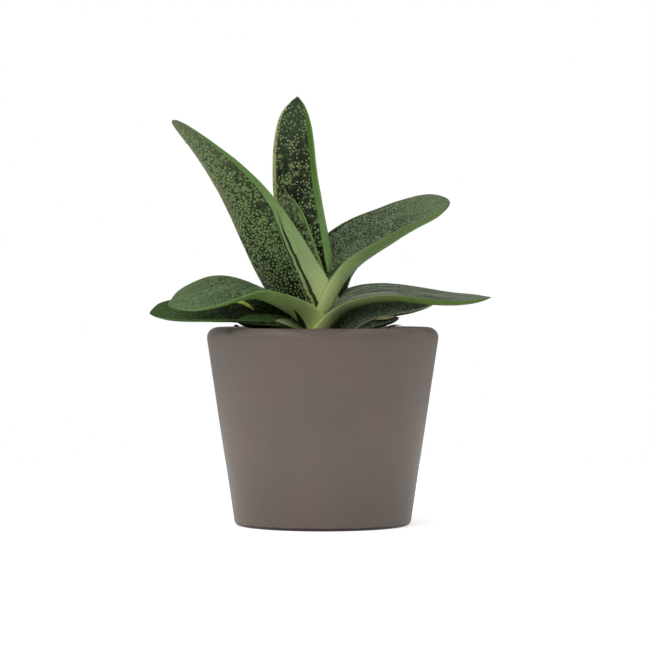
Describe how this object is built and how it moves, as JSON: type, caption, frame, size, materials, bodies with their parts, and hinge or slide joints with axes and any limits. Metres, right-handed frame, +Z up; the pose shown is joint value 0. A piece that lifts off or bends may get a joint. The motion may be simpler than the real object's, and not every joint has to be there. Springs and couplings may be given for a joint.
{
  "type": "potted gasteria",
  "caption": "Small two-ranked succulent with thick tongue-shaped speckled leaves, growing in a plain tapered round pot.",
  "frame": {"origin": "centre of the pot's flat foot, on the surface that the pot stands on", "axes": "+Z up, -Y towards the viewer of the front, +X to the right: the leaves fan out along X"},
  "size_m": [0.1449, 0.1004, 0.1865],
  "materials": {
    "pot_clay": "satin",
    "leaf_skin": "satin",
    "stem_skin": "matte",
    "potting_mix": "matte",
    "bark": "matte",
    "withered_leaf": "matte"
  },
  "bodies": {
    "root": {"pot": "pot_clay", "potting_mix": "potting_mix", "stem": "stem_skin", "leaf_centre_young": "leaf_skin", "leaf_back_tall": "leaf_skin", "leaf_left_tall": "leaf_skin", "leaf_right_long": "leaf_skin", "leaf_back_right": "leaf_skin", "leaf_left_arched": "leaf_skin", "leaf_left_low": "leaf_skin", "leaf_right_arched": "leaf_skin", "leaf_right_tucked": "leaf_skin", "leaf_left_short": "leaf_skin", "leaf_right_old": "leaf_skin", "leaf_left_bud": "leaf_skin", "withered_sliver": "withered_leaf", "withered_husk": "bark", "twig": "bark", "bark_chip_front": "bark", "bark_chip_right": "bark", "bark_chip_back": "bark", "bark_chip_left": "bark", "bark_chip_back_right": "bark"}
  },
  "joints": []
}
